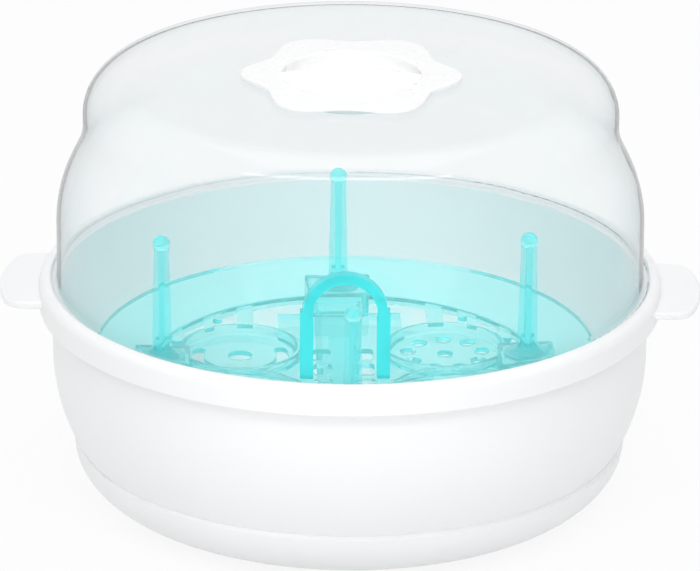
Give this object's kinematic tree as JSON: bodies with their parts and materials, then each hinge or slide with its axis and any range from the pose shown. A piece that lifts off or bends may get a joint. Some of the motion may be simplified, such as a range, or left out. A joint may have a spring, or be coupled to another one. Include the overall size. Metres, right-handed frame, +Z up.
{
  "type": "microwave bottle sterilizer",
  "caption": "Round microwave steam sterilizer for baby bottles: white bowl with side lugs, clear domed lid with petal finger grip, and lift-out tinted rack with seats, pegs and arch handle.",
  "frame": {"origin": "centre of the flat underside of the base bowl", "axes": "+Z up, +X through one side lug, +Y to the back"},
  "size_m": [0.2752, 0.244, 0.1726],
  "materials": {
    "white_shell": "satin white moulded plastic",
    "clear_aqua": "glossy clear aqua moulded plastic",
    "deep_aqua": "glossy clear aqua moulded plastic, deeper where it is thick",
    "peg_aqua": "glossy clear aqua moulded plastic",
    "clear_lid": "polished clear moulded plastic",
    "white_grip": "satin white moulded plastic"
  },
  "bodies": {
    "base": {"base_bowl": "white_shell"},
    "rack": {"rack_tray": "clear_aqua", "rack_leg_left": "clear_aqua", "rack_leg_right": "clear_aqua", "rack_leg_front": "clear_aqua", "rack_leg_back": "clear_aqua", "lift_handle": "deep_aqua", "bottle_peg_left": "peg_aqua", "bottle_peg_right": "peg_aqua", "bottle_peg_front": "peg_aqua", "bottle_peg_back": "peg_aqua"},
    "lid": {"lid_dome": "clear_lid", "lid_handle": "white_grip"}
  },
  "joints": [
    {"name": "rack_lift", "type": "slide", "parent": "base", "child": "rack", "axis": [0, 0, 1], "range_m": [0, 0.1]},
    {"name": "lid_lift", "type": "slide", "parent": "rack", "child": "lid", "axis": [0, 0, 1], "range_m": [0, 0.12]}
  ]
}
